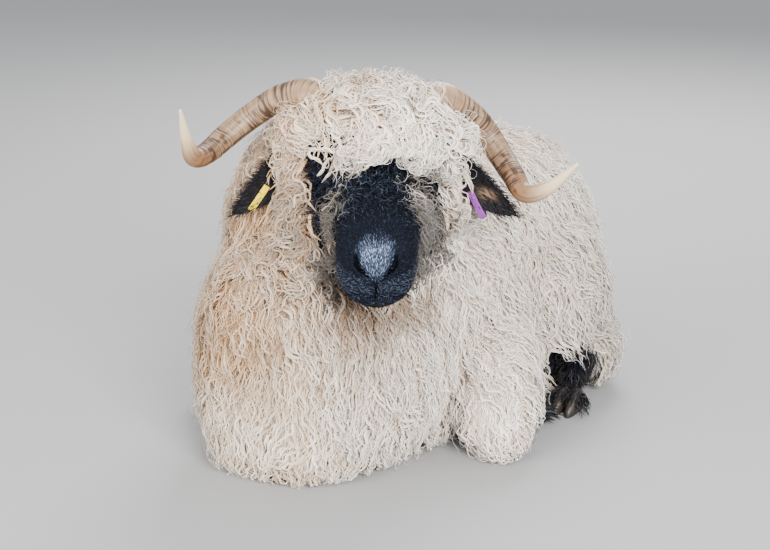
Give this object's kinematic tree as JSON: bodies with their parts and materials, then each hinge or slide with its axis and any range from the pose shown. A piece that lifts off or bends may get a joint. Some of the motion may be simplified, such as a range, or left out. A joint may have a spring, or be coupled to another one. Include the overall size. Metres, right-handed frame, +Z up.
{
  "type": "valais blacknose sheep",
  "caption": "Life-size Valais Blacknose ewe lying on her belly, black face, curly cream fleece, spiral horns and ear tags, for a still display.",
  "frame": {"origin": "on the floor under the middle of the belly", "axes": "+Z up, +Y from the head end to the tail, +X towards the ewe's own left side"},
  "size_m": [0.6404, 0.9808, 0.5687],
  "materials": {
    "fleece": "curly cream wool, warm tan at the roots and on the chest",
    "head": "short blue-black hair, greyer on the nose",
    "ear": "short black velvet hair",
    "horn": "ringed tan keratin, satin, ivory at the tips",
    "hoof": "dark brown keratin, satin",
    "eye": "wet amber iris with a level dark pupil",
    "tag_purple": "bare purple plastic strap",
    "tag_yellow": "bare yellow plastic strap"
  },
  "bodies": {
    "root": {"torso": "fleece", "neck": "fleece", "head": "head", "forelock": "fleece", "tail": "fleece", "foreleg_left": "fleece", "foreleg_right": "fleece", "hindleg_left": "fleece", "hindleg_right": "fleece", "horn_left": "horn", "horn_right": "horn", "ear_left": "ear", "ear_right": "ear", "eye_left": "eye", "eye_right": "eye", "ear_tag_left": "tag_purple", "ear_tag_right": "tag_yellow", "hoof_fore_left_inner": "hoof", "hoof_fore_left_outer": "hoof", "hoof_fore_right_inner": "hoof", "hoof_fore_right_outer": "hoof", "hoof_hind_left_inner": "hoof", "hoof_hind_left_outer": "hoof", "hoof_hind_right_inner": "hoof", "hoof_hind_right_outer": "hoof"}
  },
  "joints": []
}
